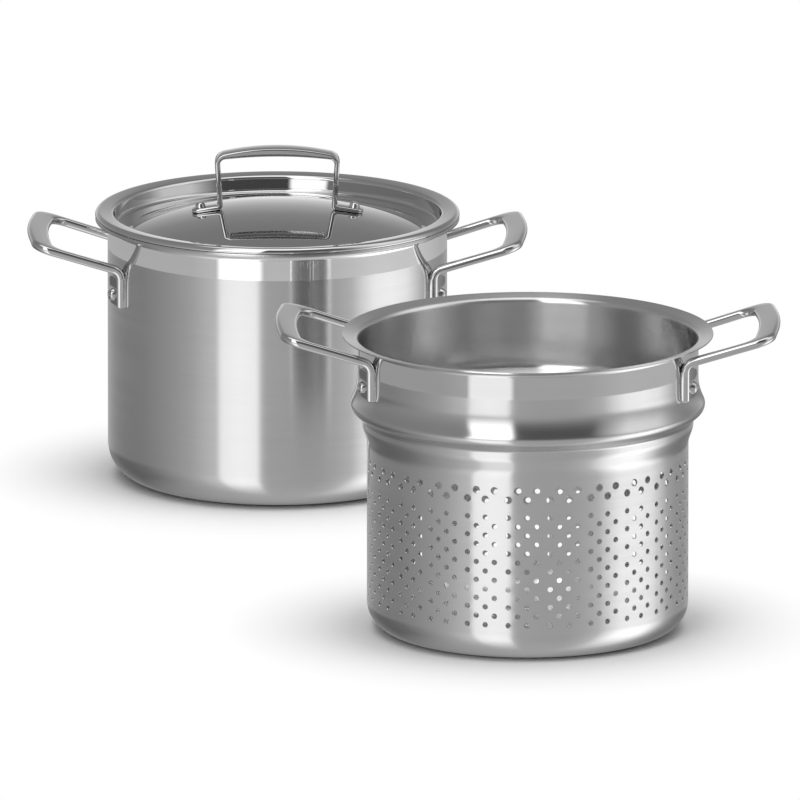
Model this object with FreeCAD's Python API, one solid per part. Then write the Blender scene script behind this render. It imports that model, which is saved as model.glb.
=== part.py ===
import FreeCAD, Part

import math
import os

from FreeCAD import Vector

# Pasta pot with a lid and a strainer insert, in millimetres.
# The origin is the centre of the pot's base, +Z is up and the handles lie along X.
# The lid is on the pot, and the insert stands on the same floor, in front and to the right.

# Mouth: one lid fits the pot and the insert's collar
mouth_d = 240.0              # inside the pot and inside the insert's collar
lip_reach = 9.0              # how far the pot's lip stands out from its wall
lip_rise = 13.0              # degrees, slope of a lip at its edge

# Pot
pot_wall = 2.5
pot_height = 191.5           # floor to the top of the lip
pot_base_bend = 25.0         # outside radius between base and wall
pot_lip_bend = 6.0           # radius under the flare

# Insert, from its own base upwards
insert_sheet = 1.0
basket_gap = 6.0             # basket to the inside of the pot
basket_height = 137.5        # floor to the corner of the taper
insert_base_bend = 20.0
taper_height = 9.5           # basket widens to the neck
taper_bend = 16.0
neck_gap = 2.5               # neck to the inside of the pot
neck_height = 6.5
neck_bend = 12.0
bead_reach = 6.9             # corner of the rolled bead beyond the mouth
bead_under = 8.0             # neck to the corner of the bead
bead_over = 13.0             # corner of the bead to the collar
bead_bend = 5.5
bead_foot_bend = 3.0         # neck to bead
bead_top_bend = 8.0          # bead to collar
collar_height = 39.5         # bead to the edge of the lip
insert_lip_bend = 9.0

# Drain holes in the basket
hole_groups = 24             # groups of four columns round the wall
group_columns = 4
group_gap = 1.5              # space between groups, in column pitches
hole_turn = -7.1             # degrees from the front to the first column of a group
small_hole_d = 4.0
big_hole_d = 5.5
first_row = 27.0             # height of the lowest row
row_pitch = 13.0
row_margin = 18.0            # least height from the first row of big holes to the corner of the taper
floor_ring_pitch = 13.0      # rings of holes in the basket's floor
floor_margin = 8.0           # outer ring to the bend of the base

# Lid
lid_sheet = 1.2
lid_gap = 1.0                # skirt to the mouth
lid_seat = 0.3               # hem to the lip it rests on
lid_hem = 4.0                # height of the turned-down edge
lid_hem_bend = 2.0
lid_recess = 12.8            # edge of the flange down to the trough
lid_flange_bend = 1.6
lid_flange_rise = 6.0        # degrees, the flange climbs towards its edge
lid_trough_bend = 2.4
lid_trough = 15.0            # width of the ring between skirt and dome
lid_dome_rise = 15.6         # trough to the top of the dome
lid_crease = 2.0             # bend where the dome meets the trough

# Lid handle: a bent strap with a foot at each end
lid_handle_height = 43.4     # dome to the top of the crown
lid_handle_width = 91.0
lid_handle_depth = 16.0
lid_foot_depth = 13.0
lid_bar = 5.8                # thickness of the grip at its crown
lid_leg = 3.9                # thickness of a leg
lid_leg_lean = 2.5           # a leg leans inwards by this much
lid_foot = 3.2               # thickness of a foot
lid_foot_reach = 19.0        # foot beyond the leg
lid_foot_corner = 5.0        # rounded end of a foot
crown_radius = 184.0         # arch of the grip
crown_arc = 36.0             # half length of that arch
crown_under = 330.0          # arch under the grip
crown_under_arc = 33.0
lid_corner = 8.0             # outside corner of the grip
lid_rivet_inset = 7.0        # rivet to the end of the foot
lid_handle_round = 1.0

# Side handle: a cast loop, the same on the pot and on the insert
handle_root = 113.0          # across the two arms at the wall
handle_end = 119.0           # across the grip at its outer end
handle_reach = 58.0          # wall to the outer end
arm_width = 7.5
arm_thick = 5.8
arm_rise = 17.0              # degrees
grip_width = 15.5            # thumb pad at the outer end
grip_corner = 24.0
grip_inner_corner = 17.0
leg_height = 29.0            # bottom of a leg to the corner where its arm starts
leg_thick = 5.0
leg_round = 3.0
arm_bend = 5.0               # inside radius from arm to leg
arm_back_bend = 8.0          # outside radius from arm to leg, beside the wall
foot_reach = 19.0            # foot pad, inwards from the leg
foot_height = 21.0
foot_thick = 2.5
foot_corner = 6.0
handle_under_round = 2.0     # lower edges of the loop
handle_top_round = 2.0       # upper edges of the loop
handle_drop = 57.0           # top of the pot down to the bottom of the legs
handle_bead_gap = 1.0        # bottom of the insert's legs above the bead

# Rivets
rivet_d = 5.0
rivet_fit = 0.1              # shank to its hole, on the radius
rivet_head_d = 9.5
rivet_head_height = 3.6
rivet_tail_d = 11.0          # head on the inside of a vessel
rivet_tail_height = 1.6
lid_rivet_head_d = 8.0
lid_rivet_tail_d = 9.0
seat_gap = 0.05              # between parts that lie against each other
foot_rivet_inset = 13.0       # rivet inwards from the middle of the leg
foot_rivet_height = 7.5      # rivet above the bottom of the leg

# Place of the insert beside the pot
insert_x = 179.0
insert_y = -485.0

mouth_r = mouth_d / 2
pot_r = mouth_r + pot_wall
rim_r = pot_r + lip_reach
collar_r = mouth_r + insert_sheet
basket_r = mouth_r - basket_gap
neck_r = mouth_r - neck_gap
bead_top = basket_height + taper_height + neck_height + bead_under + bead_over
insert_height = bead_top + collar_height
up = Vector(0, 0, 1)
near = 0.01                  # tells edges apart


# Bent paths: corner points (x, z, bend) in the XZ plane, joined by straight runs with round bends

def turns(path):
    points = [Vector(x, 0, z) for x, z, bend in path]
    runs = [(b - a).normalize() for a, b in zip(points, points[1:])]
    angles = [math.atan2(a.x * b.z - a.z * b.x, a.dot(b)) for a, b in zip(runs, runs[1:])]
    return points, runs, angles


# The path moved to its left: bends to the left get tighter and bends to the right get wider.
def shifted(path, gap):
    points, runs, angles = turns(path)
    sides = [Vector(-d.z, 0, d.x) * gap for d in runs]
    moved = [points[0] + sides[0]]
    moved += [p + s - d * gap * math.tan(a / 2) for p, s, d, a in zip(points[1:], sides, runs, angles)]
    moved.append(points[-1] + sides[-1])
    bends = [0] + [p[2] - gap * math.copysign(1, a) for p, a in zip(path[1:], angles)] + [0]
    return [(p.x, p.z, bend) for p, bend in zip(moved, bends)]


def path_edges(path):
    points, runs, angles = turns(path)
    edges = []
    here = points[0]
    for corner, before, after, angle, spec in zip(points[1:], runs, runs[1:], angles, path[1:]):
        length = spec[2] * math.tan(abs(angle) / 2)
        start = corner - before * length
        end = corner + after * length
        edges += straight(here, start)
        if length > 0:
            inward = (after - before).normalize()
            middle = corner + inward * (spec[2] / math.cos(angle / 2) - spec[2])
            edges.append(Part.Arc(start, middle, end).toShape())
        here = end
    return edges + straight(here, points[-1])


# A straight run, or nothing where two bends meet
def straight(start, end):
    if start.isEqual(end, 1e-6):
        return []
    return [Part.LineSegment(start, end).toShape()]


# A closed outline: the path is started and ended in the middle of its last side.
def outline_face(corners):
    first, last = corners[0], corners[-1]
    middle = ((first[0] + last[0]) / 2, (first[1] + last[1]) / 2, 0)
    return Part.Face(Part.Wire(path_edges([middle] + corners + [middle])))


# Solid of revolution of a sheet: the path is its lower and outer side, from the axis to the edge.
def spun_sheet(path, sheet):
    inner = shifted(path, sheet)
    ends = [Vector(x, 0, z) for x, z, bend in (path[0], inner[0], path[-1], inner[-1])]
    edges = path_edges(path)
    edges.append(Part.LineSegment(ends[2], ends[3]).toShape())
    edges += path_edges(inner[::-1])
    edges.append(Part.LineSegment(ends[1], ends[0]).toShape())
    return Part.Face(Part.Wire(edges)).revolve(Vector(), up, 360)


# Flared lip at the top of a wall of outside radius wall_r, its upper edge at height top
def lip_path(wall_r, sheet, top, bend):
    rise = math.radians(lip_rise)
    edge = top - sheet * math.cos(rise)
    corner = edge - (rim_r - wall_r) * math.tan(rise)
    return [(wall_r, corner, bend), (rim_r, edge, 0)]


# All that lies inside a wall and its lip, and seat_gap beyond them, for what is set against them
def inside_of(wall_r, sheet, top, bend):
    path = shifted([(wall_r, -top, 0)] + lip_path(wall_r, sheet, top, bend), -seat_gap)
    low, high = path[0][1], path[-1][1]
    axis_ends = [Vector(0, 0, high), Vector(0, 0, low)]
    corners = [Vector(path[-1][0], 0, high)] + axis_ends + [Vector(path[0][0], 0, low)]
    edges = path_edges(path) + [Part.LineSegment(a, b).toShape() for a, b in zip(corners, corners[1:])]
    return Part.Face(Part.Wire(edges)).revolve(Vector(), up, 360)


# Rivets: shank along +X through walls that lie between x = inside and x = outside

def rivet(inside, outside, head_d, tail_d):
    shank = rivet_d / 2
    tail_top = Vector(inside - rivet_tail_height, 0, 0)
    tail_edge = Vector(inside, 0, tail_d / 2)
    head_edge = Vector(outside, 0, head_d / 2)
    head_top = Vector(outside + rivet_head_height, 0, 0)
    corners = [tail_edge, Vector(inside, 0, shank), Vector(outside, 0, shank), head_edge]
    edges = [dome_arc(tail_top, tail_edge)]
    edges += [Part.LineSegment(a, b).toShape() for a, b in zip(corners, corners[1:])]
    edges.append(dome_arc(head_edge, head_top))
    edges.append(Part.LineSegment(head_top, tail_top).toShape())
    return Part.Face(Part.Wire(edges)).revolve(Vector(), Vector(1, 0, 0), 360)


# Arc of a domed head in the XZ plane, from one end to the other, with its centre on the X axis
def dome_arc(start, end):
    top, edge = (start, end) if abs(start.z) < abs(end.z) else (end, start)
    rise = top.x - edge.x
    radius = (rise * rise + edge.z * edge.z) / (2 * rise)
    centre = Vector(top.x - radius, 0, 0)
    between = ((top - centre) + (edge - centre)).normalize() * abs(radius)
    return Part.Arc(start, centre + between, end).toShape()


def rivet_hole(length):
    return Part.makeCylinder(rivet_d / 2 + rivet_fit, length, Vector(), Vector(1, 0, 0))


def turned(shape, degrees):
    copy = shape.copy()
    copy.rotate(Vector(), up, degrees)
    return copy


def moved(shape, x, y, z):
    copy = shape.copy()
    copy.translate(Vector(x, y, z))
    return copy


# Pot

def pot_shell():
    base = [(0, 0, 0), (pot_r, 0, pot_base_bend)]
    return spun_sheet(base + lip_path(pot_r, pot_wall, pot_height, pot_lip_bend), pot_wall)


# Strainer insert: one drawn sheet from the floor of the basket to the lip

def insert_shell():
    taper_top = basket_height + taper_height
    neck_top = taper_top + neck_height
    bead_corner = neck_top + bead_under
    path = [
        (0, 0, 0),
        (basket_r, 0, insert_base_bend),
        (basket_r, basket_height, taper_bend),
        (neck_r, taper_top, neck_bend),
        (neck_r, neck_top, bead_foot_bend),
        (mouth_r + bead_reach, bead_corner, bead_bend),
        (collar_r, bead_top, bead_top_bend),
    ]
    lip = lip_path(collar_r, insert_sheet, insert_height, insert_lip_bend)
    return spun_sheet(path + lip, insert_sheet)


# A drain hole through the wall, at an angle from the middle of the gap between two groups
def wall_hole(diameter, degrees, height):
    depth = basket_gap
    hole = Part.makeCylinder(diameter / 2, depth, Vector(basket_r - depth / 2, 0, height), Vector(1, 0, 0))
    return turned(hole, degrees)


def drain_holes():
    group = 360.0 / hole_groups
    column = group / (group_columns - 1 + group_gap)
    rows = int((basket_height - row_margin - first_row) / row_pitch)
    holes = []
    for k in range(hole_groups * group_columns):
        degrees = (k // group_columns) * group + (group_gap / 2 + k % group_columns) * column
        odd = k % 2
        low = first_row + odd * row_pitch / 2
        holes += [wall_hole(small_hole_d, degrees, low + row * row_pitch) for row in range(rows - odd)]
        holes.append(wall_hole(big_hole_d, degrees, low + rows * row_pitch))
    rings = int((basket_r - insert_base_bend - floor_margin) / floor_ring_pitch)
    for ring in range(rings + 1):
        count = max(1, 6 * ring)
        for k in range(count):
            hole = Part.makeCylinder(
                small_hole_d / 2, 3 * insert_sheet, Vector(ring * floor_ring_pitch, 0, -insert_sheet)
            )
            holes.append(turned(hole, (k + ring % 2 / 2) * 360.0 / count))
    return holes


# The seam of the revolved wall lies in a gap between groups, then the pattern is turned to its place.
def insert_basket():
    group = 360.0 / hole_groups
    column = group / (group_columns - 1 + group_gap)
    pierced = insert_shell().cut(drain_holes())
    return turned(pierced, -90 + hole_turn - column * group_gap / 2)


# Side handle on the +X side of a wall of radius wall_r, with the bottom of its legs at z = 0

def handle_loop(wall_r):
    rise = math.radians(arm_rise)
    root = handle_root / 2
    end = handle_end / 2
    tip = wall_r + handle_reach
    back = math.sqrt(wall_r**2 - root**2)
    front = math.sqrt(wall_r**2 - (root - arm_width / 2) ** 2) + leg_thick
    far = tip + arm_thick
    top_at = lambda x: leg_height + (x - back) * math.tan(rise)
    under_at = lambda x: top_at(x) - arm_thick / math.cos(rise)
    side = outline_face([
        (back, 0, 0),
        (front, 0, 0),
        (front, under_at(front), arm_bend),
        (far, under_at(far), 0),
        (far, top_at(far), 0),
        (back, top_at(back), arm_back_bend),
    ])
    strap = moved(side, 0, -far, 0).extrude(Vector(0, 2 * far, 0))
    plan = plan_prism([
        (back - arm_width, -root, 0),
        (back, -root, 0),
        (tip, -end, grip_corner),
        (tip, end, grip_corner),
        (back, root, 0),
        (back - arm_width, root, 0),
    ])
    opening = plan_prism([
        (back - arm_width, arm_width - root, 0),
        (back, arm_width - root, 0),
        (tip - grip_width, arm_width - end, grip_inner_corner),
        (tip - grip_width, end - arm_width, grip_inner_corner),
        (back, root - arm_width, 0),
        (back - arm_width, root - arm_width, 0),
    ])
    loop = strap.common(plan).cut(opening).removeSplitter()
    loop = rounded(loop, leg_round, lambda p: abs(p.z) < near and back + near < p.x < front - near)
    on_front = lambda p: abs(p.x - front) < near
    on_under = lambda p: p.x > front and p.z < under_at(p.x) + near
    loop = rounded(loop, handle_under_round, lambda p: on_front(p) or on_under(p))
    return rounded(loop, handle_top_round, lambda p: p.x > front and abs(p.z - top_at(p.x)) < near)


# A tall prism over an outline given as (x, y, bend)
def plan_prism(corners):
    tall = pot_height + insert_height
    face = outline_face(corners)
    face.rotate(Vector(), Vector(1, 0, 0), -90)
    return moved(face, 0, 0, -tall).extrude(up * 3 * tall)


def handle_foot(wall_r, side):
    root = handle_root / 2
    outer = root - arm_width / 2
    inner = root - arm_width - foot_reach
    face = outline_face([
        (inner, 0, foot_corner),
        (outer, 0, 0),
        (outer, foot_height, 0),
        (inner, foot_height, foot_corner),
    ])
    face.rotate(Vector(), up, 90)
    slab = face.extrude(Vector(wall_r + foot_reach, 0, 0))
    plate = Part.makeCylinder(wall_r + foot_thick, foot_height).common(slab)
    return plate if side > 0 else plate.mirror(Vector(), Vector(0, 1, 0))


def rivet_angle(wall_r):
    return math.degrees(math.asin((handle_root / 2 - arm_width / 2 - foot_rivet_inset) / wall_r))


def side_handle(wall_r, seat):
    body = handle_loop(wall_r)
    for side in (1, -1):
        body = body.fuse(handle_foot(wall_r, side))
    body = body.cut(seat)
    for side in (1, -1):
        hole = moved(rivet_hole(2 * wall_r), 0, 0, foot_rivet_height)
        body = body.cut(turned(hole, side * rivet_angle(wall_r)))
    return body.removeSplitter()


# Edges whose middle point passes a test, rounded
def rounded(shape, radius, test):
    middle = lambda edge: edge.valueAt((edge.FirstParameter + edge.LastParameter) / 2)
    return shape.makeFillet(radius, [edge for edge in shape.Edges if test(middle(edge))])


def side_rivet(wall_r, sheet):
    inside = math.sqrt((wall_r - sheet) ** 2 - (rivet_tail_d / 2) ** 2) - seat_gap
    outside = wall_r + foot_thick + seat_gap
    return moved(rivet(inside, outside, rivet_head_d, rivet_tail_d), 0, 0, foot_rivet_height)


# Lid

flange_top = pot_height + lid_seat + lid_hem
flange_under = flange_top - lid_sheet
skirt_r = mouth_r - lid_gap
dome_r = skirt_r - lid_trough
trough_under = flange_under - lid_recess
dome_under = trough_under + lid_dome_rise
dome_top = dome_under + lid_sheet
dome_radius = (dome_r**2 + lid_dome_rise**2) / (2 * lid_dome_rise)
dome_centre = dome_under - dome_radius


def lid_sheet_metal():
    slope = math.asin(dome_r / dome_radius)
    corner = dome_radius * math.tan(slope / 2)
    edge_bend = lid_crease * math.tan(slope / 2)
    hem_r = rim_r - lid_sheet
    flange_foot = flange_under - (hem_r - skirt_r) * math.tan(math.radians(lid_flange_rise))
    path = [
        (0, dome_under, 0),
        (corner, dome_under, (corner - edge_bend) / math.tan(slope / 2)),
        (dome_r, trough_under, lid_crease),
        (skirt_r, trough_under, lid_trough_bend + lid_sheet),
        (skirt_r, flange_foot, lid_flange_bend),
        (hem_r, flange_under, lid_hem_bend),
        (hem_r, flange_top - lid_hem, 0),
    ]
    return spun_sheet(path, lid_sheet)


# Places along X on the lid, worked out from the grip
lid_leg_out = lid_handle_width / 2 - lid_leg_lean
lid_foot_end = lid_leg_out + lid_foot_reach
lid_rivet_x = lid_foot_end - lid_rivet_inset
lid_tilt = math.asin(lid_rivet_x / (dome_radius + lid_sheet))


# Height of a plane over the dome, parallel to the dome at the rivet and lift above it
def over_dome(x, lift):
    radius = dome_radius + lid_sheet + lift
    return dome_centre + (radius - x * math.sin(lid_tilt)) / math.cos(lid_tilt)


def lid_grip():
    slope = math.asin(crown_arc / crown_radius)
    under_slope = math.asin(crown_under_arc / crown_under)
    top = dome_top + lid_handle_height
    half = lid_handle_width / 2
    inner = half - lid_leg
    apex = top + crown_radius * (1 / math.cos(slope) - 1)
    under_apex = top - lid_bar + crown_under * (1 / math.cos(under_slope) - 1)
    foot_in = lid_leg_out - lid_leg
    low, high = seat_gap, seat_gap + lid_foot
    outer = [
        (lid_foot_end, over_dome(lid_foot_end, high), 0),
        (lid_leg_out, over_dome(lid_leg_out, high), lid_foot / 2),
        (half, apex - half * math.tan(slope), lid_corner),
    ]
    under = [
        (inner, under_apex - inner * math.tan(under_slope), lid_corner - lid_leg),
        (foot_in, over_dome(foot_in, low), lid_foot),
        (lid_foot_end, over_dome(lid_foot_end, low), 0),
    ]
    arch = outer + [(0, apex, crown_radius)] + mirrored(outer)
    face = outline_face(arch + mirrored(under) + [(0, under_apex, crown_under)] + under)
    strap = moved(face, 0, -lid_handle_depth / 2, 0).extrude(Vector(0, lid_handle_depth, 0))
    depth = lid_handle_depth / 2
    foot_z = over_dome(lid_foot_end, 0)
    taper = outline_face([
        (lid_foot_depth / 2, foot_z, 0),
        (depth, top, 0),
        (-depth, top, 0),
        (-lid_foot_depth / 2, foot_z, 0),
    ])
    taper.rotate(Vector(), up, 90)
    strap = strap.common(moved(taper, -lid_foot_end, 0, 0).extrude(Vector(2 * lid_foot_end, 0, 0)))
    half_foot = lid_foot_depth / 2
    strap = strap.common(plan_prism([
        (lid_foot_end, -half_foot, lid_foot_corner),
        (lid_foot_end, half_foot, lid_foot_corner),
        (lid_leg_out, depth, 0),
        (-lid_leg_out, depth, 0),
        (-lid_foot_end, half_foot, lid_foot_corner),
        (-lid_foot_end, -half_foot, lid_foot_corner),
        (-lid_leg_out, -depth, 0),
        (lid_leg_out, -depth, 0),
    ])).removeSplitter()
    upper = lambda p: p.z > over_dome(abs(p.x), lid_foot * 3 / 4)
    sides = lambda p: abs(p.y) > lid_foot_depth / 4 or abs(p.x) > lid_foot_end - near
    return rounded(strap, lid_handle_round, lambda p: upper(p) and sides(p))


def mirrored(path):
    return [(-x, z, bend) for x, z, bend in reversed(path)]


# A shape made along +X, set on the dome at the rivet, with its axis square to the dome
def on_dome(shape):
    copy = moved(shape, dome_radius + lid_sheet, 0, 0)
    copy.rotate(Vector(), Vector(0, 1, 0), math.degrees(lid_tilt) - 90)
    return moved(copy, 0, 0, dome_centre)


# Names and angles of the four rivets of a vessel, front being towards -Y
def rivet_places(wall_r):
    angle = rivet_angle(wall_r)
    right = {"right_back": angle, "right_front": -angle}
    left = {"left_front": 180 + angle, "left_back": 180 - angle}
    return right | left


# A vessel with its two handles and four rivets
def vessel(name, shell, shell_node, wall_r, sheet, top, bend, foot_z):
    stud = moved(side_rivet(wall_r, sheet), 0, 0, foot_z)
    hole = moved(rivet_hole(wall_r + foot_thick), 0, 0, foot_z + foot_rivet_height)
    seat = inside_of(wall_r, sheet, top - foot_z, bend)
    handle = moved(side_handle(wall_r, seat), 0, 0, foot_z)
    places = rivet_places(wall_r)
    nodes = {shell_node: shell.cut([turned(hole, angle) for angle in places.values()])}
    nodes[name + "_handle_right"] = handle
    nodes[name + "_handle_left"] = turned(handle, 180)
    for place, angle in places.items():
        nodes[name + "_rivet_" + place] = turned(stud, angle)
    return nodes


def lid():
    stack = 2 * seat_gap + lid_foot
    stud = on_dome(rivet(-lid_sheet - seat_gap, stack, lid_rivet_head_d, lid_rivet_tail_d))
    hole = on_dome(moved(rivet_hole(4 * lid_foot), -2 * lid_foot, 0, 0))
    holes = [hole, turned(hole, 180)]
    return {
        "lid_shell": lid_sheet_metal().cut(holes),
        "lid_handle": lid_grip().cut(holes),
        "lid_rivet_right": stud,
        "lid_rivet_left": turned(stud, 180),
    }


pot_legs = pot_height - handle_drop
insert_legs = bead_top + handle_bead_gap
parts = vessel("pot", pot_shell(), "pot_body", pot_r, pot_wall, pot_height, pot_lip_bend, pot_legs)
parts.update(lid())
basket = insert_basket()
lip_bend = insert_lip_bend
sheet = insert_sheet
insert = vessel("insert", basket, "insert_basket", collar_r, sheet, insert_height, lip_bend, insert_legs)
parts.update({name: moved(shape, insert_x, insert_y, 0) for name, shape in insert.items()})

os.makedirs("parts", exist_ok=True)
for name, shape in parts.items():
    shape.exportStep("parts/" + name + ".step")
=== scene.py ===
import bpy
import bmesh
import math
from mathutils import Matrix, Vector


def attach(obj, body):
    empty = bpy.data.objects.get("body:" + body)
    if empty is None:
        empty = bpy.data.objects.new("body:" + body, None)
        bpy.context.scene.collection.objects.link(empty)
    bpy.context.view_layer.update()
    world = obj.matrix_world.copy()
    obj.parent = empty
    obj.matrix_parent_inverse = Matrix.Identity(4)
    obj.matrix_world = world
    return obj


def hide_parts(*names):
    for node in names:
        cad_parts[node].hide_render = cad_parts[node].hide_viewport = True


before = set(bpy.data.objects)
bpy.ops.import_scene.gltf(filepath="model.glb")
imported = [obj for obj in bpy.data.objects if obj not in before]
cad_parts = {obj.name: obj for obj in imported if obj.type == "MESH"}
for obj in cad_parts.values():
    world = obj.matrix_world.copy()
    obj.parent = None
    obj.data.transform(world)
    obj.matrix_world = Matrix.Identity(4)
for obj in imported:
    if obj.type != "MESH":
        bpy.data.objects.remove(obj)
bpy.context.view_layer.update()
mm = 0.001
weldGap = 0.002 * mm
bandGap = 0.02 * mm  # for the cells of the hole band and the rings beside it
hair = 0.1 * mm  # closer than this counts as the same place
sharp = 1.0  # radians between two faces, above which their edge is rounded
stepTurn = 8.0  # degrees, the most for one step round a bend
stepRun = 2.5  # mm, the same
wallSteps = 216  # round a vessel
holeSteps = 16  # round a drain hole


def deselect():
    if bpy.context.mode != "OBJECT":
        bpy.ops.object.mode_set(mode="OBJECT")
    bpy.ops.object.select_all(action="DESELECT")


def makeActive(piece):
    deselect()
    piece.select_set(True)
    bpy.context.view_layer.objects.active = piece


def editPiece(piece):
    makeActive(piece)
    bpy.ops.object.mode_set(mode="EDIT")


def pick(piece, kind, test):  # selects only the verts, edges or faces that pass the test
    mesh = bmesh.from_edit_mesh(piece.data)
    bpy.ops.mesh.select_mode(type={"verts": "VERT", "edges": "EDGE", "faces": "FACE"}[kind])
    bpy.ops.mesh.select_all(action="DESELECT")
    for item in getattr(mesh, kind):
        item.select_set(bool(test(item)))
    mesh.select_flush_mode()
    bmesh.update_edit_mesh(piece.data)


def middle(edge):
    return (edge.verts[0].co + edge.verts[1].co) / 2


def run(edge, axis):  # how far an edge goes along one axis
    return abs(edge.verts[0].co[axis] - edge.verts[1].co[axis])


def settle(piece):  # puts a moved or turned object's place into its mesh
    makeActive(piece)
    bpy.ops.object.transform_apply(location=True, rotation=True, scale=True)


def addModifier(piece, kind, **values):
    makeActive(piece)
    modifier = piece.modifiers.new(kind.title(), kind)
    for name, value in values.items():
        setattr(modifier, name, value)
    bpy.ops.object.modifier_apply(modifier=modifier.name)


def joinAll(pieces):
    deselect()
    for piece in pieces:
        piece.select_set(True)
    bpy.context.view_layer.objects.active = pieces[0]
    bpy.ops.object.join()
    return pieces[0]


def weld(piece, distance=weldGap):
    editPiece(piece)
    bpy.ops.mesh.select_all(action="SELECT")
    bpy.ops.mesh.remove_doubles(threshold=distance)
    bpy.ops.mesh.normals_make_consistent(inside=False)
    bpy.ops.object.mode_set(mode="OBJECT")


def smooth(piece, degrees=32):
    makeActive(piece)
    bpy.ops.object.shade_smooth_by_angle(angle=math.radians(degrees))


def copyPiece(piece, name, turn=0.0, shift=(0, 0, 0)):
    copy = piece.copy()
    copy.data = piece.data.copy()
    copy.name = name
    bpy.context.collection.objects.link(copy)
    copy.rotation_euler = (0, 0, math.radians(turn))
    copy.location = shift
    settle(copy)
    return copy


def drawChain(name, corners, place):  # a vertex pulled along straight runs and round the bends
    points = [place(*corner[:2]) for corner in corners]
    path = [points[0]]
    for before, point, after, corner in zip(points, points[1:], points[2:], corners[1:]):
        arrive, leave = (point - before).normalized(), (after - point).normalized()
        turn, bend = arrive.angle(leave), corner[2] * mm
        centre = point + (leave - arrive).normalized() * bend / math.cos(turn / 2)
        steps = math.ceil(max(math.degrees(turn) / stepTurn, turn * bend / (stepRun * mm))) if bend else 0
        start = point - arrive * bend * math.tan(turn / 2) - centre
        for k in range(steps + 1):
            angle = turn * k / max(steps, 1)
            path.append(centre + start * math.cos(angle) + arrive * bend * math.sin(angle))
    path.append(points[-1])
    deselect()
    bpy.ops.mesh.primitive_plane_add(size=mm, location=path[0])
    piece = bpy.context.object
    piece.name = name
    settle(piece)
    bpy.ops.object.mode_set(mode="EDIT")
    bpy.ops.mesh.select_mode(type="VERT")
    bpy.ops.mesh.select_all(action="SELECT")
    bpy.ops.mesh.merge(type="CENTER")
    for here, there in zip(path, path[1:]):
        bpy.ops.mesh.extrude_vertices_move(TRANSFORM_OT_translate={"value": there - here})
    return piece


def spinSheet(name, corners):  # sheet metal turned about the upright axis
    piece = drawChain(name, corners, lambda r, z: Vector((r, 0, z)) * mm)
    bpy.ops.mesh.select_all(action="SELECT")
    bpy.ops.mesh.spin(steps=wallSteps, angle=2 * math.pi, center=(0, 0, 0), axis=(0, 0, 1))
    weld(piece)
    return piece


def thicken(piece, sheet):  # the first material is on the added wall, the second on the drawn one
    piece.data.materials.append(None)
    piece.data.materials.append(None)
    addModifier(
        piece, "SOLIDIFY", thickness=sheet * mm, offset=-1, use_even_offset=True, use_rim=True, material_offset=1
    )


def roundEdges(piece, width):
    addModifier(piece, "BEVEL", width=width * mm, segments=3, limit_method="ANGLE", angle_limit=math.radians(60))


def repeat(piece, count, step):  # copies in a row, each one step from the last
    addModifier(
        piece, "ARRAY", count=count, use_relative_offset=False, use_constant_offset=True,
        constant_offset_displace=tuple(part * mm for part in step),
    )


# Mouth and lips, shared by the pot, the insert and the lid

mouth = {"inside": 120.0, "rim": 131.5, "rise": 13.0}


def lipCorners(wall, sheet, top, bend):
    rise = math.radians(mouth["rise"])
    edge = top - sheet * math.cos(rise)
    return [(wall, edge - (mouth["rim"] - wall) * math.tan(rise), bend), (mouth["rim"], edge, 0)]


# Pot

pot = {
    "wall": 122.5, "sheet": 2.5, "height": 191.5, "baseBend": 25.0, "lipBend": 3.0, "rawEdge": 0.4, "legs": 134.5,
    "band": (170.0, 183.8),  # heights that keep the wall upright beside its bends; polished above the first
}


def makePot():
    base = [(0, 0, 0), (pot["wall"], 0, pot["baseBend"])]
    band = [(pot["wall"], z, 0) for z in pot["band"]]
    lip = lipCorners(pot["wall"], pot["sheet"], pot["height"], pot["lipBend"])
    body = spinSheet("potShell", base + band + lip)
    thicken(body, -pot["sheet"])
    roundEdges(body, pot["rawEdge"])
    return body


# Lid: hem, flange, skirt, trough and dome, drawn along the underside

lid = {
    "sheet": 1.2, "flange": 194.6, "flangeRise": 6.0, "skirt": 119.0, "trough": 181.8, "dome": 104.0, "rise": 15.6,
    "hem": 191.8, "hemBend": 2.0, "flangeBend": 1.6, "troughBend": 3.6, "domeFoot": 2.0, "rawEdge": 0.25,
    "domeShare": 0.99,  # leaves the arc a little short of the bend at its foot
}


def domeRadius():  # of the underside
    return (lid["dome"] ** 2 + lid["rise"] ** 2) / (2 * lid["rise"])


def makeLid():
    dome = domeRadius()
    slope = math.asin(lid["dome"] / dome)
    corner = dome * math.tan(slope / 2)
    rim = mouth["rim"] - lid["sheet"]
    foot = lid["flange"] - (rim - lid["skirt"]) * math.tan(math.radians(lid["flangeRise"]))
    body = spinSheet("lidShell", [
        (0, lid["trough"] + lid["rise"], 0),
        (corner, lid["trough"] + lid["rise"], dome * lid["domeShare"]),
        (lid["dome"], lid["trough"], lid["domeFoot"]),
        (lid["skirt"], lid["trough"], lid["troughBend"]),
        (lid["skirt"], foot, lid["flangeBend"]),
        (rim, lid["flange"], lid["hemBend"]),
        (rim, lid["hem"], 0),
    ])
    thicken(body, -lid["sheet"])
    roundEdges(body, lid["rawEdge"])
    return body


# Strainer insert: a spun sheet above and below a band of drain holes, and a pierced floor

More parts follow.
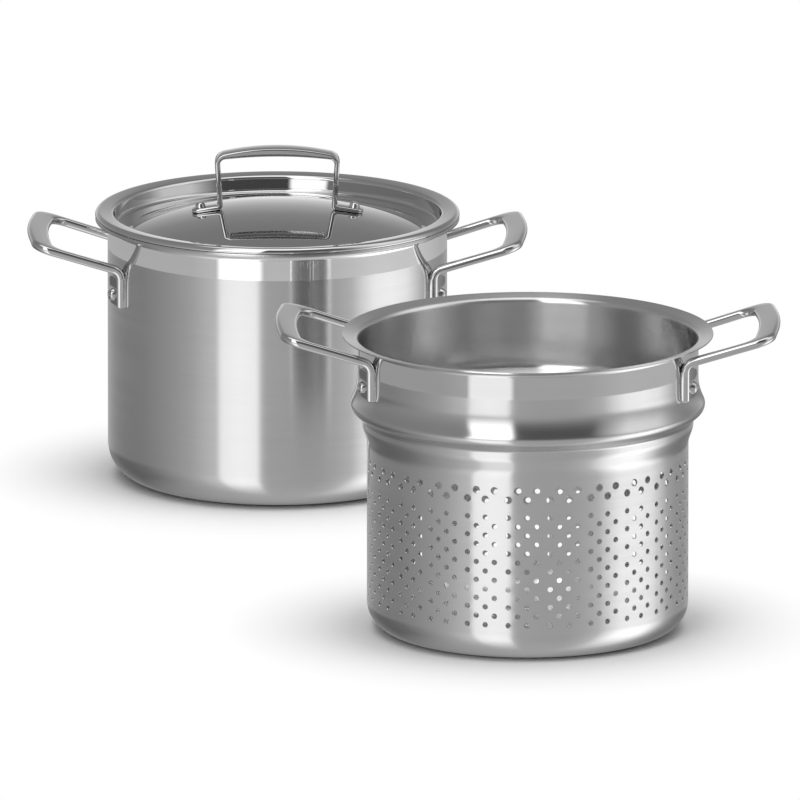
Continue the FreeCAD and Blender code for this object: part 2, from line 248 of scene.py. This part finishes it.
insert = {
    "place": (179.0, -485.0), "sheet": 1.0, "height": 214.0, "basket": 114.0, "neck": 117.5, "collar": 121.0,
    "baseBend": 20.0, "floor": 88.0, "bandLow": 20.5, "bandHigh": 131.0, "legs": 175.5, "lipBend": 3.0,
    "taper": (137.5, 16.0), "neckLow": (147.0, 12.0), "neckHigh": (153.5, 3.0),  # height and bend
    "bead": (126.9, 161.5, 5.5), "shoulder": (174.5, 38.0),
    "band": (192.0, 207.6),  # heights that keep the collar upright beside its bends; polished above the first
}
holes = {
    "groups": 24, "columns": 4, "rows": 7, "gap": 1.5, "turn": -7.1, "small": 4.0, "big": 5.5, "pitch": 13.0,
    "first": 27.0, "floorRings": 7, "floorPitch": 13.0, "drill": 4.0,
}


def makeInsert():
    basket, neck, collar = insert["basket"], insert["neck"], insert["collar"]
    low = spinSheet("insertLow", [
        (insert["floor"], 0, 0),
        (basket, 0, insert["baseBend"]),
        (basket, insert["bandLow"], 0),
    ])
    band = [(collar, z, 0) for z in insert["band"]]
    lip = lipCorners(collar, insert["sheet"], insert["height"], insert["lipBend"])
    high = spinSheet("insertHigh", [
        (basket, insert["bandHigh"], 0),
        (basket, *insert["taper"]),
        (neck, *insert["neckLow"]),
        (neck, *insert["neckHigh"]),
        insert["bead"],
        (collar, *insert["shoulder"]),
    ] + band + lip)
    for ring in (low, high):  # the rings of vertices meet those of the band
        ring.rotation_euler = (0, 0, bandStart())
        settle(ring)
    shell = joinAll([low, high, holeBand()])
    weld(shell, bandGap)
    thicken(shell, -insert["sheet"])
    for place, name in enumerate(("insertInnerPaintedLight", "insertOuter")):  # or the join makes the empty slots one
        shell.data.materials[place] = finishes[name]
    shell = joinAll([shell, insertFloor()])
    shell.name = "insertShell"
    shell.location = Vector((*insert["place"], 0)) * mm
    settle(shell)
    return shell


def cell(width, height, x, z, hole):  # a flat cell standing in the XZ plane, with eight corners and a round hole
    deselect()
    bpy.ops.mesh.primitive_circle_add(vertices=8, radius=mm / 2)
    piece = bpy.context.object
    bpy.ops.object.mode_set(mode="EDIT")
    pick(piece, "verts", lambda v: min(abs(v.co.x), abs(v.co.y)) > hair)
    bpy.ops.transform.resize(value=(math.sqrt(2), math.sqrt(2), 1))
    bpy.ops.mesh.select_all(action="SELECT")
    bpy.ops.transform.resize(value=(width, height, 1))
    bpy.ops.mesh.primitive_circle_add(vertices=holeSteps, radius=hole * mm / 2)
    bpy.ops.mesh.select_mode(type="EDGE")
    bpy.ops.mesh.select_all(action="SELECT")
    bpy.ops.mesh.bridge_edge_loops()
    return standUp(piece, x, z)


def plainCell(width, height, x, z, across, up):
    deselect()
    bpy.ops.mesh.primitive_grid_add(x_subdivisions=across, y_subdivisions=up, size=mm)
    piece = bpy.context.object
    piece.scale = (width, height, 1)
    return standUp(piece, x, z)


def standUp(piece, x, z):
    deselect()
    piece.rotation_euler = (math.pi / 2, 0, 0)
    piece.location = Vector((x, 0, z)) * mm
    settle(piece)
    return piece


def bandStart():  # angle of the left side of the first column's cells
    column = 360 / holes["groups"] / (holes["columns"] - 1 + holes["gap"])
    return math.radians(holes["turn"] - 90 - column / 2)


def holeBand():
    wide = 2 * math.pi * insert["basket"] / holes["groups"]
    column = wide / (holes["columns"] - 1 + holes["gap"])
    tall, first, rows = holes["pitch"], holes["first"], holes["rows"]
    left, right = column / 2, 1.5 * column
    even = cell(column, tall, left, first, holes["small"])
    repeat(even, rows, (0, 0, tall))
    odd = cell(column, tall, right, first + tall / 2, holes["small"])
    repeat(odd, rows - 1, (0, 0, tall))
    pair = joinAll([
        even,
        odd,
        cell(column, tall, left, first + rows * tall, holes["big"]),
        cell(column, tall, right, first + (rows + 0.5) * tall, holes["big"]),
        plainCell(column, tall / 2, left, first + (rows + 0.75) * tall, 2, 1),
        plainCell(column, tall / 2, right, first - tall / 4, 2, 1),
        plainCell(column, tall, right, first + (rows - 0.5) * tall, 2, 2),
    ])
    repeat(pair, holes["columns"] // 2, (2 * column, 0, 0))
    spare = holes["gap"] - 1  # columns without holes beside each group
    strip = plainCell(
        spare * column, (rows + 1.5) * tall, (holes["columns"] + spare / 2) * column,
        first + (rows / 2 + 0.25) * tall, 1, 2 * rows + 3,
    )
    group = joinAll([pair, strip])
    repeat(group, holes["groups"], (wide, 0, 0))
    group.name = "holeBand"
    weld(group, bandGap)
    for v in group.data.vertices:  # the flat band is rolled up round the axis
        angle = v.co.x / (insert["basket"] * mm) + bandStart()
        v.co = Vector((math.cos(angle) * insert["basket"] * mm, math.sin(angle) * insert["basket"] * mm, v.co.z))
    weld(group, bandGap)
    return group


def insertFloor():  # a flat plate with rings of drain holes
    deselect()
    bpy.ops.mesh.primitive_cylinder_add(
        vertices=wallSteps, radius=insert["floor"] * mm, depth=insert["sheet"] * mm,
        location=(0, 0, insert["sheet"] * mm / 2),
    )
    plate = bpy.context.object
    plate.name = "insertFloor"
    settle(plate)
    drills = []
    for ring in range(holes["floorRings"]):
        count = max(1, 6 * ring)
        out = holes["floorPitch"] * ring * mm
        for k in range(count):
            angle = 2 * math.pi * (k + ring % 2 / 2) / count
            deselect()
            bpy.ops.mesh.primitive_cylinder_add(
                vertices=holeSteps, radius=holes["small"] * mm / 2, depth=holes["drill"] * mm,
                location=(out * math.cos(angle), out * math.sin(angle), 0),
            )
            drills.append(bpy.context.object)
    drill = joinAll(drills)
    settle(drill)
    addModifier(plate, "BOOLEAN", operation="DIFFERENCE", object=drill, solver="EXACT")
    bpy.data.objects.remove(drill)
    plate.data.materials.append(finishes["insertInnerPaintedLight"])
    return plate


# Side handle: a flat loop tilted up, its two ends bent down into legs, with riveted foot pads

handle = {
    "root": 56.5, "end": 59.5, "tip": 179.4, "arm": 7.5, "thick": 5.8, "rise": 17.0, "pad": 15.5, "corner": 14.0,
    "inner": 11.0, "bow": 260.0, "bowTurn": 6.5, "bend": 5.0, "edge": 2.6, "rootZone": 3.0,
    "legFront": 115.6, "legHeight": 29.0, "legEdge": 1.6, "legSunk": 0.3, "legBlend": 4.0,
    "footIn": 30.0, "footOut": 52.7, "footTall": 21.0, "foot": 2.5, "footCorner": 6.0, "footEdge": 0.6,
    "footSunk": 0.5,
}


def loopCorners(end, half, rootHalf, corner):  # from one root to the other, the end bowed outwards
    turn = math.radians(handle["bowTurn"])
    crown = handle["bow"] * (1 / math.cos(turn) - 1)
    back = half * math.tan(turn)
    side = [(0, rootHalf, 0), (end + crown - back, half, corner), (end + crown, 0, handle["bow"])]
    return side + [(u, -y, bend) for u, y, bend in reversed(side[:2])]


def makeHandle():
    rise = math.radians(handle["rise"])
    along = Vector((math.cos(rise), 0, math.sin(rise)))
    over = Vector((-math.sin(rise), 0, math.cos(rise)))
    wallX = math.sqrt(pot["wall"] ** 2 - handle["root"] ** 2)
    reach = handle["bend"] + handle["thick"]
    rootX = handle["legFront"] + handle["bend"] - reach * math.sin(rise)
    rootZ = handle["legHeight"] + (rootX - wallX) * math.tan(rise)
    root = Vector((rootX, 0, rootZ))  # where the top of the arm meets its bend
    centre = root - over * reach
    length = (handle["tip"] - rootX) / math.cos(rise)
    arm = handle["arm"]

    def flat(u, y):
        return Vector((u, y, 0)) * mm

    def loopEdge(edge):  # along the loop, not across its roots
        return edge.calc_face_angle(0) > sharp and run(edge, 2) < hair and middle(edge).x > hair

    outer = loopCorners(length, handle["end"], handle["root"], handle["corner"])
    inner = loopCorners(length - handle["pad"], handle["end"] - arm, handle["root"] - arm, handle["inner"])
    loop = joinAll([drawChain("loopOuter", outer, flat), drawChain("loopInner", inner, flat)])
    loop.name = "sideHandle"
    editPiece(loop)
    bpy.ops.mesh.select_mode(type="EDGE")
    bpy.ops.mesh.select_all(action="SELECT")
    bpy.ops.mesh.bridge_edge_loops()
    bpy.ops.mesh.select_all(action="SELECT")
    bpy.ops.mesh.extrude_region_move(TRANSFORM_OT_translate={"value": (0, 0, -handle["thick"] * mm)})
    pick(loop, "edges", loopEdge)
    bpy.ops.mesh.bevel(offset=handle["edge"] * mm, segments=6, affect="EDGES", clamp_overlap=False)
    bpy.ops.object.mode_set(mode="OBJECT")
    loop.rotation_euler = (0, -rise, 0)
    loop.location = root * mm
    settle(loop)
    weld(loop)
    editPiece(loop)
    rootEnd = (rootX + handle["rootZone"]) * mm
    pick(loop, "faces", lambda f: f.normal.dot(along) < -0.99 and f.calc_center_median().x < rootEnd)
    bpy.ops.mesh.spin(steps=10, angle=math.radians(90) - rise, center=centre * mm, axis=(0, 1, 0))
    bpy.ops.mesh.extrude_region_move(TRANSFORM_OT_translate={"value": (0, 0, -centre.z * mm)})
    bpy.ops.object.mode_set(mode="OBJECT")
    weld(loop)
    editPiece(loop)
    pick(loop, "edges", lambda e: middle(e).z < hair and e.calc_face_angle(0) > sharp)
    bpy.ops.mesh.bevel(offset=handle["legEdge"] * mm, segments=4, affect="EDGES", clamp_overlap=False)
    bpy.ops.object.mode_set(mode="OBJECT")
    backX = handle["legFront"] - handle["thick"]
    for v in loop.data.vertices:  # the back of a leg follows the round wall
        seat = math.sqrt(pot["wall"] ** 2 - min(abs(v.co.y) / mm, handle["root"]) ** 2) - handle["legSunk"]
        share = 1 - (v.co.x / mm - backX) / handle["legBlend"]
        if v.co.z < centre.z * mm and share > 0:
            v.co.x += (seat - backX) * min(share, 1) * mm
    return joinAll([loop, footPad(1), footPad(-1)])


def footPad(side):  # a plate against the wall, rounded at its inner end
    width = handle["footOut"] - handle["footIn"]
    deselect()
    bpy.ops.mesh.primitive_cube_add(size=1)
    pad = bpy.context.object
    pad.scale = Vector((handle["foot"] + handle["footSunk"], width, handle["footTall"])) * mm
    settle(pad)
    editPiece(pad)
    pick(pad, "edges", lambda e: run(e, 0) > hair and side * middle(e).y < 0)
    bpy.ops.mesh.bevel(offset=handle["footCorner"] * mm, segments=7, affect="EDGES")
    bpy.ops.object.mode_set(mode="OBJECT")
    roundEdges(pad, handle["footEdge"])
    angle = math.asin((handle["footIn"] + handle["footOut"]) / 2 / pot["wall"])
    out = pot["wall"] + handle["foot"] / 2 - handle["footSunk"] / 2
    pad.rotation_euler = (0, 0, side * angle)
    pad.location = Vector((out * math.cos(angle), side * out * math.sin(angle), handle["footTall"] / 2)) * mm
    settle(pad)
    return pad


# Rivet: a domed head, a shank and a flatter head inside, turned about X

rivet = {
    "head": 4.75, "rise": 3.6, "shank": 2.5, "tail": 5.5, "tailRise": 1.6, "y": 39.75, "z": 7.5, "clear": 0.05,
    "lidHead": 4.0, "lidTail": 4.5,
    "headRound": (0.75, 0.55), "tailRound": (0.6, 0.8),  # place and bend of the crown, as shares of the radius
}


def makeRivet(head, tail, inside, outside):
    low, top = inside - rivet["tailRise"], outside + rivet["rise"]
    stud = drawChain("stud", [
        (low, 0, 0),
        (low, *(tail * share for share in rivet["tailRound"])),
        (inside, tail, 0),
        (inside, rivet["shank"], 0),
        (outside, rivet["shank"], 0),
        (outside, head, 0),
        (top, *(head * share for share in rivet["headRound"])),
        (top, 0, 0),
    ], lambda x, r: Vector((x, 0, r)) * mm)
    bpy.ops.mesh.select_all(action="SELECT")
    bpy.ops.mesh.spin(steps=32, angle=2 * math.pi, center=(0, 0, 0), axis=(1, 0, 0))
    weld(stud)
    smooth(stud, 40)
    return stud


# Lid handle: a bent strap with a crowned grip and two feet that lie on the dome

strap = {
    "width": 45.5, "top": 242.0, "bar": 5.8, "leg": 3.9, "lean": 2.5, "foot": 3.2, "reach": 19.0, "depth": 15.95,
    "footDepth": 13.0, "footTop": 204.0, "footBend": 1.6, "footCorner": 5.0, "lift": 0.1, "corner": 8.0,
    "edge": 1.3, "rivetX": 55.0, "crown": 184.0, "crownHalf": 36.0, "under": 330.0, "underHalf": 33.0,
}


def strapTilt():  # slope of the dome at the rivets
    return math.asin(strap["rivetX"] / (domeRadius() + lid["sheet"]))


def domeTop(x, lift):  # height of a plane that touches the dome at the rivet, lifted off it
    centre = lid["trough"] + lid["rise"] - domeRadius()
    tilt = strapTilt()
    return centre + (domeRadius() + lid["sheet"] + lift - x * math.sin(tilt)) / math.cos(tilt)


def makeStrap():
    half, legOut = strap["width"], strap["width"] - strap["lean"]
    end, legIn, inner = legOut + strap["reach"], legOut - strap["leg"], half - strap["leg"]
    slope = math.asin(strap["crownHalf"] / strap["crown"])
    underSlope = math.asin(strap["underHalf"] / strap["under"])
    apex = strap["top"] + strap["crown"] * (1 / math.cos(slope) - 1)
    underApex = strap["top"] - strap["bar"] + strap["under"] * (1 / math.cos(underSlope) - 1)
    outer = [
        (end, domeTop(end, strap["foot"]), 0),
        (legOut, domeTop(legOut, strap["foot"]), strap["footBend"]),
        (half, apex - half * math.tan(slope), strap["corner"]),
        (0, apex, strap["crown"]),
    ]
    under = [
        (0, underApex, strap["under"]),
        (inner, underApex - inner * math.tan(underSlope), strap["corner"] - strap["leg"]),
        (legIn, domeTop(legIn, strap["lift"]), strap["foot"]),
        (end, domeTop(end, strap["lift"]), 0),
    ]

    def flip(path):
        return [(-x, z, bend) for x, z, bend in reversed(path)]

    def upright(x, z):
        return Vector((x, -strap["depth"] / 2, z)) * mm

    top = drawChain("strapTop", outer + flip(outer)[1:], upright)
    low = drawChain("strapLow", flip(under) + under[1:], upright)
    bar = joinAll([top, low])
    bar.name = "lidStrap"
    editPiece(bar)
    for side in (1, -1):
        pick(bar, "verts", lambda v: abs(side * v.co.x - end * mm) < hair)
        bpy.ops.mesh.edge_face_add()
    bpy.ops.mesh.select_all(action="SELECT")
    bpy.ops.mesh.edge_face_add()
    bpy.ops.mesh.select_all(action="SELECT")
    bpy.ops.mesh.extrude_region_move(TRANSFORM_OT_translate={"value": (0, strap["depth"] * mm, 0)})
    pick(bar, "verts", lambda v: v.co.z < strap["footTop"] * mm)
    bpy.ops.transform.resize(value=(1, strap["footDepth"] / strap["depth"], 1), center_override=(0, 0, 0))
    pick(bar, "edges", lambda e: abs(abs(middle(e).x) - end * mm) < hair and run(e, 1) < hair)
    bpy.ops.mesh.bevel(offset=strap["footCorner"] * mm, segments=6, affect="EDGES")
    bpy.ops.object.mode_set(mode="OBJECT")
    weld(bar)
    addModifier(
        bar, "BEVEL", width=strap["edge"] * mm, segments=4, limit_method="ANGLE", angle_limit=math.radians(60),
        use_clamp_overlap=False,
    )
    return bar


# Nodes

def nodeMaker(tree):  # gives a function that adds a node with its settings and what feeds it
    def node(kind, values=None, **settings):
        made = tree.nodes.new(kind)
        for key, value in settings.items():
            setattr(made, key, value)
        for key, value in (values or {}).items():
            if hasattr(value, "is_output"):
                tree.links.new(value, made.inputs[key])
            else:
                made.inputs[key].default_value = value
        return made.outputs

    return node


def maths(node, operation, *values):
    return node("ShaderNodeMath", dict(enumerate(values)), operation=operation)[0]


def between(node, value, span, first=0.0, last=1.0):  # the span of a value spread over another
    return node("ShaderNodeMapRange", {0: value, 1: span[0], 2: span[1], 3: first, 4: last})[0]


def grey(light):
    return (light, light, light, 1)


# Steel finishes: fine lines that run round the axis, with a polished top band where one is given; the band's tone
# can be set lighter, a painted sheen

grain = {
    "fine": 900.0, "broad": 120.0, "cloud": 14.0, "stretch": 0.012, "depth": 0.02, "even": 0.02,
    "span": (0.3, 0.7), "sumSpan": (0.6, 1.4),  # the values that one noise and the sum of two take
    "bandEdge": 0.3, "bandRough": (0.03, 0.05), "bandRelief": 0.05,
}


def steel(
    name, tone, rough, spread, lines=0.03, aniso=0.0, place=(0, 0), polish=None, polishSheenTone=0.7, relief=0.06
):
    material = bpy.data.materials.new(name)
    material.use_nodes = True
    node, links = nodeMaker(material.node_tree), material.node_tree.links
    shader = material.node_tree.nodes["Principled BSDF"]
    shader.inputs["Metallic"].default_value = 1.0
    shader.inputs["Anisotropic"].default_value = aniso
    shader.inputs["Anisotropic Rotation"].default_value = 0.25
    spot = node("ShaderNodeTexCoord")["Object"]
    axis = (place[0] * mm, place[1] * mm, 0)
    centred = node("ShaderNodeVectorMath", {0: spot, 1: axis}, operation="SUBTRACT")[0]
    flat = node("ShaderNodeVectorMath", {0: centred, 1: (1, 1, 0)}, operation="MULTIPLY")[0]
    radius = node("ShaderNodeVectorMath", {0: flat}, operation="LENGTH")["Value"]
    parts = node("ShaderNodeSeparateXYZ", {0: centred})
    along = maths(node, "MULTIPLY", parts["X"], grain["stretch"])
    ring = node("ShaderNodeCombineXYZ", {0: radius, 1: parts["Z"], 2: along})[0]
    fine = node(
        "ShaderNodeTexNoise", {"Vector": ring, "Scale": grain["fine"], "Detail": 3.0, "Roughness": 0.65}
    )["Fac"]
    broad = node("ShaderNodeTexNoise", {"Vector": ring, "Scale": grain["broad"], "Detail": 2.0})["Fac"]
    cloud = node("ShaderNodeTexNoise", {"Vector": centred, "Scale": grain["cloud"], "Detail": 3.0})["Fac"]
    streak = maths(node, "ADD", fine, broad)
    finish = between(node, streak, grain["sumSpan"], rough - spread, rough + spread)
    patch = between(node, cloud, grain["span"], tone * (1 - grain["even"]), tone * (1 + grain["even"]))
    shade = maths(node, "MULTIPLY", patch, between(node, streak, grain["sumSpan"], 1 - lines, 1 + lines))
    height = fine
    if polish:
        band = between(node, parts["Z"], [(polish + edge) * mm for edge in (-grain["bandEdge"], grain["bandEdge"])])
        gloss = between(node, cloud, grain["span"], *grain["bandRough"])
        # the band's tone, lighter where given: a painted sheen on the polished band
        bright = between(node, broad, grain["span"], polishSheenTone * (1 - grain["even"]), polishSheenTone)
        finish = node("ShaderNodeMix", {"Factor": band, 2: finish, 3: gloss})[0]
        shade = node("ShaderNodeMix", {"Factor": band, 2: shade, 3: bright})[0]
        height = maths(node, "MULTIPLY", fine, between(node, band, (0.0, 1.0), 1.0, grain["bandRelief"]))
    bump = node("ShaderNodeBump", {"Strength": relief, "Distance": grain["depth"] * mm, "Height": height})[0]
    links.new(node("ShaderNodeCombineColor", {0: shade, 1: shade, 2: shade})[0], shader.inputs["Base Color"])
    links.new(finish, shader.inputs["Roughness"])
    links.new(bump, shader.inputs["Normal"])
    if aniso:
        links.new(node("ShaderNodeTangent", direction_type="RADIAL", axis="Z")[0], shader.inputs["Tangent"])
    return material


finishes = {
    # the pot's polished band is lighter than its brushed steel: real polish with a painted sheen
    "potOuter": steel("potOuter", 0.66, 0.16, 0.03, aniso=0.9, polish=pot["band"][0], polishSheenTone=0.88),
    "potInner": steel("potInner", 0.64, 0.3, 0.05, aniso=0.5),
    "lidTop": steel("lidTop", 0.68, 0.035, 0.012, lines=0.012),
    "lidUnder": steel("lidUnder", 0.64, 0.2, 0.04),
    "insertOuter": steel(
        "insertOuter", 0.66, 0.16, 0.03, aniso=0.9, place=insert["place"], polish=insert["band"][0], polishSheenTone=0.66
    ),
    # the inside of the insert is given a lighter tone than its outside of the same sheet: painted light on the
    # inside
    "insertInnerPaintedLight": steel(
        "insertInnerPaintedLight", 0.8, 0.23, 0.01, lines=0.01, aniso=1.0, place=insert["place"], relief=0.01
    ),
    "castSteel": steel("castSteel", 0.66, 0.07, 0.02, lines=0.02),
    # the strap's steel is darker than the side handles' steel of the same kind: painted shade
    "strapSteelPaintedShade": steel("strapSteelPaintedShade", 0.56, 0.06, 0.02, lines=0.02),
    "rivetSteel": steel("rivetSteel", 0.62, 0.1, 0.03, lines=0.02),
}


def dress(piece, body, slot, nodes, *names):
    while len(piece.data.materials) < len(names):
        piece.data.materials.append(None)
    for place, name in enumerate(names):
        piece.data.materials[place] = finishes[name]
    smooth(piece)
    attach(piece, body)
    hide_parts(*nodes)


# Assembly

dress(makePot(), "pot", "pot_steel", ["pot_body"], "potInner", "potOuter")
print("pot made")
dress(makeLid(), "lid", "lid_steel", ["lid_shell"], "lidTop", "lidUnder")
print("lid made")
dress(makeInsert(), "insert", "insert_steel", ["insert_basket"], "insertInnerPaintedLight", "insertOuter")
print("insert made")

vessels = (  # name, radius of the wall, height of the legs and place
    ("pot", pot["wall"], pot["legs"], (0, 0)),
    ("insert", insert["collar"], insert["legs"], insert["place"]),
)
pattern = makeHandle()
for vessel, wall, legs, (x, y) in vessels:
    for side, turn, sign in (("right", 0, 1), ("left", 180, -1)):
        shift = Vector((x - sign * (pot["wall"] - wall), y, legs)) * mm
        loop = copyPiece(pattern, vessel + "Handle" + side.title(), turn, shift)
        dress(loop, vessel, "handle_steel", [vessel + "_handle_" + side], "castSteel")
bpy.data.objects.remove(pattern)
print("side handles made")

for vessel, wall, legs, (x, y) in vessels:
    inside = math.sqrt(mouth["inside"] ** 2 - rivet["tail"] ** 2) - rivet["clear"]
    stud = makeRivet(rivet["head"], rivet["tail"], inside, wall + handle["foot"] + rivet["clear"])
    angle = math.degrees(math.asin(rivet["y"] / wall))
    turns = {"right_back": angle, "right_front": -angle, "left_front": 180 + angle, "left_back": 180 - angle}
    for place, turn in turns.items():
        copy = copyPiece(stud, vessel + "Rivet_" + place, turn, Vector((x, y, legs + rivet["z"])) * mm)
        dress(copy, vessel, "rivet_steel", [vessel + "_rivet_" + place], "rivetSteel")
    bpy.data.objects.remove(stud)
print("side rivets made")

dress(makeStrap(), "lid", "handle_steel", ["lid_handle"], "strapSteelPaintedShade")
stud = makeRivet(
    rivet["lidHead"], rivet["lidTail"], -lid["sheet"] - rivet["clear"], strap["foot"] + strap["lift"]
)
stud.rotation_euler = (0, strapTilt() - math.pi / 2, 0)
stud.location = Vector((strap["rivetX"], 0, domeTop(strap["rivetX"], 0))) * mm
settle(stud)
for side, turn in (("right", 0), ("left", 180)):
    dress(copyPiece(stud, "lidRivet_" + side, turn), "lid", "rivet_steel", ["lid_rivet_" + side], "rivetSteel")
bpy.data.objects.remove(stud)
print("lid handle and rivets made")


# Studio: a white floor, a soft lamp overhead and rings of soft boxes in the world

view = {
    "target": (88.5, -240.0, 109.2), "elevation": 12.8, "focal": 36000.0, "scale": 1397.5, "image": 800,
    "sensor": 36, "clipEnd": 100,
}
studio = {
    "floor": 14.0, "floorTone": 1.0, "floorRough": 0.9, "lampPlace": (0.2, -0.3, 3.0), "lampPower": 40.0,
    "lampSize": 3.0, "fadeFrom": 125.0, "fadeTo": 215.0,
}
glow = {  # spans are sines of the height
    "lift": (-0.12, -0.03), "belt": (0.02, 0.03), "under": (-1.0, -0.6), "underLight": 0.52, "over": (0.88, 0.97),
    "overLight": 1.4, "shutLight": 0.02,
}
lowRing = [  # degrees round from the camera side, to the right, and the brightness below the horizon
    (-180, 0.3), (-158, 0.24), (-142, 0.16), (-125, 0.16), (-105, 0.2), (-88, 0.3), (-74, 0.4), (-61, 0.52),
    (-50, 0.7), (-42, 0.8), (-39, 1.3), (-26, 1.42), (-14, 1.34), (-11, 0.6), (-6, 0.5), (10, 0.47), (29, 0.47),
    (40, 0.54), (52, 0.68), (60, 1.1), (70, 1.56), (85, 1.66), (100, 1.5), (110, 1.0), (120, 0.5), (132, 0.3),
    (146, 0.22), (160, 0.24), (180, 0.3),
]
levelRing = [  # the same, at the horizon
    (-180, 1.0), (-150, 0.5), (-120, 0.3), (0, 0.5), (120, 0.3), (150, 0.5), (180, 1.0),
]
highRing = [  # the same, well above the horizon
    (-180, 0.24), (-110, 0.26), (-60, 0.3), (-42, 0.3), (-39, 2.1), (-12, 2.1), (-9, 0.1), (45, 0.1), (60, 0.6),
    (72, 1.05), (98, 1.05), (112, 0.5), (130, 0.25), (180, 0.24),
]
beltRing = [  # the same, for the height that upright mirrors show in the main view
    (-180, 0.45), (-60, 0.46), (-42, 0.54), (-39, 1.25), (-12, 1.25), (-9, 0.52), (40, 0.52), (70, 0.62),
    (110, 0.62), (150, 0.45), (180, 0.45),
]
rising = [  # sine of the height, and how far from the level ring to the high one
    (0.0, 0.0), (0.1, 0.4), (0.22, 0.71), (0.34, 0.91), (0.44, 0.97), (0.52, 1.0),
]


def makeStudio():
    deselect()
    bpy.ops.mesh.primitive_plane_add(size=studio["floor"])
    floor = bpy.context.object
    floor.name = "floor"
    floor.visible_glossy = False
    paper = bpy.data.materials.new("paper")
    paper.use_nodes = True
    shader = paper.node_tree.nodes["Principled BSDF"]
    shader.inputs["Base Color"].default_value = grey(studio["floorTone"])
    shader.inputs["Roughness"].default_value = studio["floorRough"]
    shader.inputs["Specular IOR Level"].default_value = 0.0
    node = nodeMaker(paper.node_tree)
    spot = node("ShaderNodeTexCoord")["Object"]
    away = [
        node("ShaderNodeVectorMath", {0: spot, 1: (x * mm, y * mm, 0)}, operation="DISTANCE")["Value"]
        for x, y in ((0, 0), insert["place"])
    ]
    fade = between(node, maths(node, "MINIMUM", *away), (studio["fadeFrom"] * mm, studio["fadeTo"] * mm))
    share = maths(node, "MULTIPLY", fade, node("ShaderNodeLightPath")["Is Camera Ray"])
    white = node("ShaderNodeEmission", {"Color": grey(1), "Strength": 1.0})[0]
    mixed = node("ShaderNodeMixShader", {0: share, 1: shader.outputs[0], 2: white})[0]  # plain white further out
    paper.node_tree.links.new(mixed, paper.node_tree.nodes["Material Output"].inputs["Surface"])
    floor.data.materials.append(paper)
    bpy.ops.object.light_add(type="AREA", location=studio["lampPlace"])
    lamp = bpy.context.object
    lamp.data.energy = studio["lampPower"]
    lamp.data.size = studio["lampSize"]
    lamp.visible_glossy = False


def makeWorld():
    world = bpy.data.worlds.new("softBoxes")
    bpy.context.scene.world = world
    world.use_nodes = True
    world.node_tree.nodes.clear()
    node = nodeMaker(world.node_tree)

    def ramp(value, stops):
        light = node("ShaderNodeValToRGB", {0: value})[0]
        marks = light.node.color_ramp.elements
        while len(marks) < len(stops):
            marks.new(0.5)
        for mark, (place, level) in zip(marks, stops):
            mark.position = place
            mark.color = grey(level)
        return light

    def mix(factor, first, second):
        return node("ShaderNodeMix", {"Factor": factor, 6: first, 7: second}, data_type="RGBA")[2]

    way = node("ShaderNodeSeparateXYZ", {0: node("ShaderNodeTexCoord")["Generated"]})
    angle = maths(node, "ARCTAN2", way["X"], maths(node, "MULTIPLY", way["Y"], -1.0))
    turn = between(node, angle, (-math.pi, math.pi))

    def ring(stops):
        return ramp(turn, [((degrees + 180) / 360, level) for degrees, level in stops])

    upper = mix(ramp(way["Z"], rising), ring(levelRing), ring(highRing))
    sides = mix(between(node, way["Z"], glow["lift"]), ring(lowRing), upper)
    off = maths(node, "ABSOLUTE", maths(node, "ADD", way["Z"], math.sin(math.radians(view["elevation"]))))
    sides = mix(between(node, off, glow["belt"], 1.0, 0.0), sides, ring(beltRing))
    under = between(node, way["Z"], glow["under"], 1.0, 0.0)
    over = between(node, way["Z"], glow["over"])
    whole = mix(over, mix(under, sides, grey(glow["underLight"])), grey(glow["overLight"]))
    path = node("ShaderNodeLightPath")
    bounced = maths(node, "GREATER_THAN", path["Diffuse Depth"], 0.5)
    down = maths(node, "LESS_THAN", way["Z"], 0.0)
    shut = maths(node, "MULTIPLY", bounced, down)  # so that nothing lights the floor from below
    final = mix(path["Is Camera Ray"], mix(shut, whole, grey(glow["shutLight"])), grey(1))
    back = node("ShaderNodeBackground", {"Color": final, "Strength": 1.0})[0]
    node("ShaderNodeOutputWorld", {"Surface": back})


def makeCamera():
    tilt = math.radians(view["elevation"])
    bpy.ops.object.camera_add()
    camera = bpy.context.object
    camera.data.sensor_width = view["sensor"]
    camera.data.lens = view["sensor"] * view["focal"] / view["image"]
    away = view["focal"] / view["scale"]
    camera.location = Vector(view["target"]) * mm + Vector((0, -math.cos(tilt), math.sin(tilt))) * away
    camera.rotation_euler = (math.pi / 2 - tilt, 0, 0)
    camera.data.clip_end = view["clipEnd"]
    bpy.context.scene.camera = camera


makeStudio()
makeWorld()
makeCamera()
bpy.context.scene.view_settings.view_transform = "Standard"
print("studio made")
